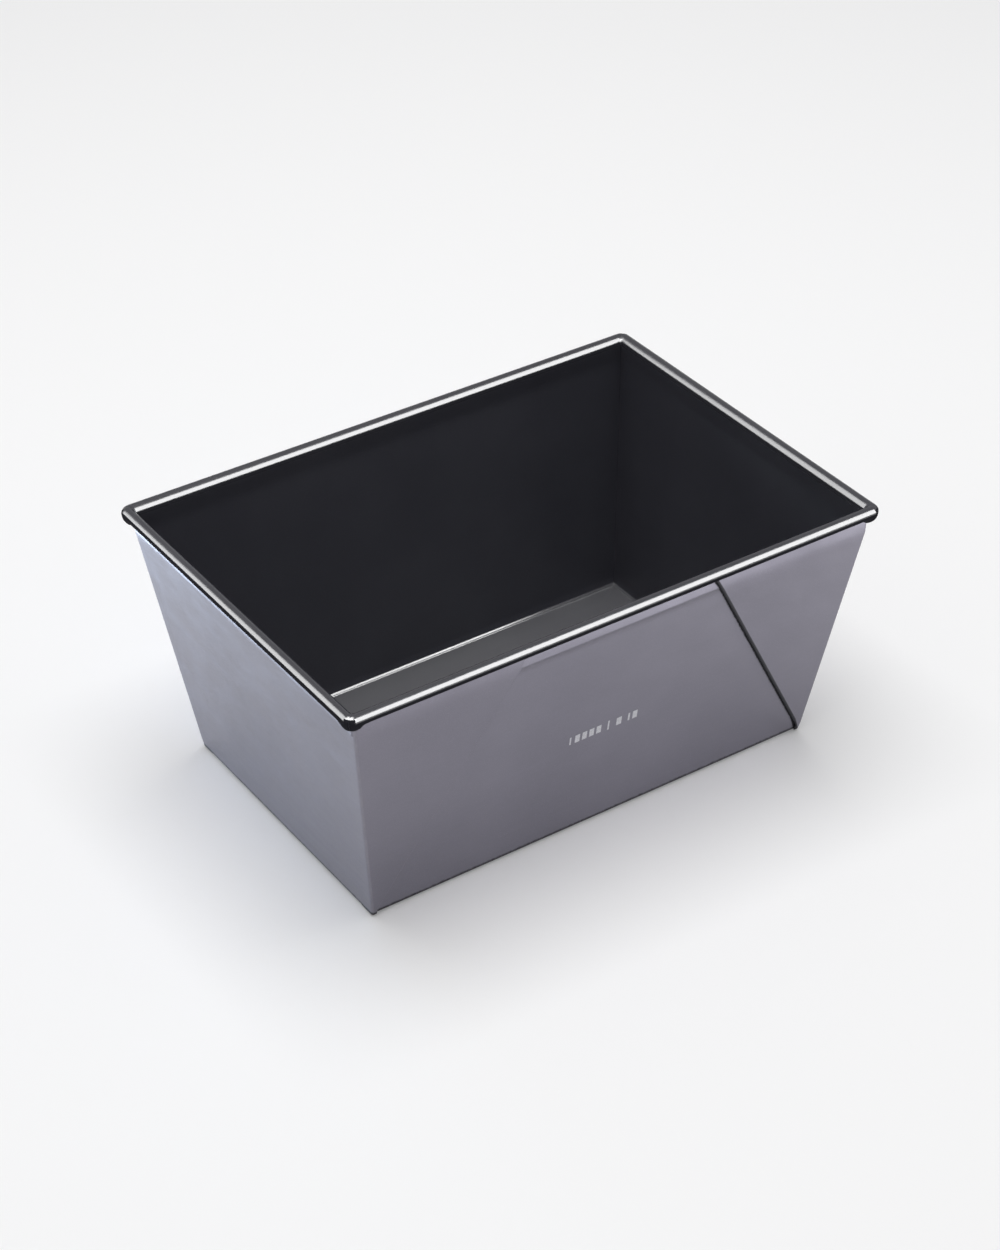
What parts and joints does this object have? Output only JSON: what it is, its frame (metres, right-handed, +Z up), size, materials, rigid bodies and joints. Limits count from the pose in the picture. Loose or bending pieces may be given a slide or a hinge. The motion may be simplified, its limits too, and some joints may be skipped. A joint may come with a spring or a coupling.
{
  "type": "loaf pan",
  "caption": "Deep tapered loaf pan folded from coated sheet steel, with flat corner folds on the long walls, a satin outside, a dark non-stick inside and a rolled rim over a steel wire.",
  "frame": {"origin": "centre of the pan's footprint, on the surface it stands on", "axes": "+X along the pan's length, +Y across it from the front wall to the rear wall, +Z up through the open mouth"},
  "size_m": [0.2478, 0.1734, 0.1147],
  "materials": {
    "outer_coating": "satin metallic graphite coating, smooth",
    "inner_coating": "dark non-stick coating, smooth, semi-gloss",
    "wire_steel": "drawn steel wire, bare"
  },
  "bodies": {
    "root": {"base_panel": "inner_coating", "front_wall": "outer_coating", "rear_wall": "outer_coating", "left_end_wall": "outer_coating", "right_end_wall": "outer_coating", "corner_fold_front_left": "outer_coating", "corner_fold_front_right": "outer_coating", "corner_fold_rear_left": "outer_coating", "corner_fold_rear_right": "outer_coating", "rim_roll_front": "inner_coating", "rim_roll_rear": "inner_coating", "rim_roll_left": "inner_coating", "rim_roll_right": "inner_coating", "rim_wire": "wire_steel"}
  },
  "joints": []
}
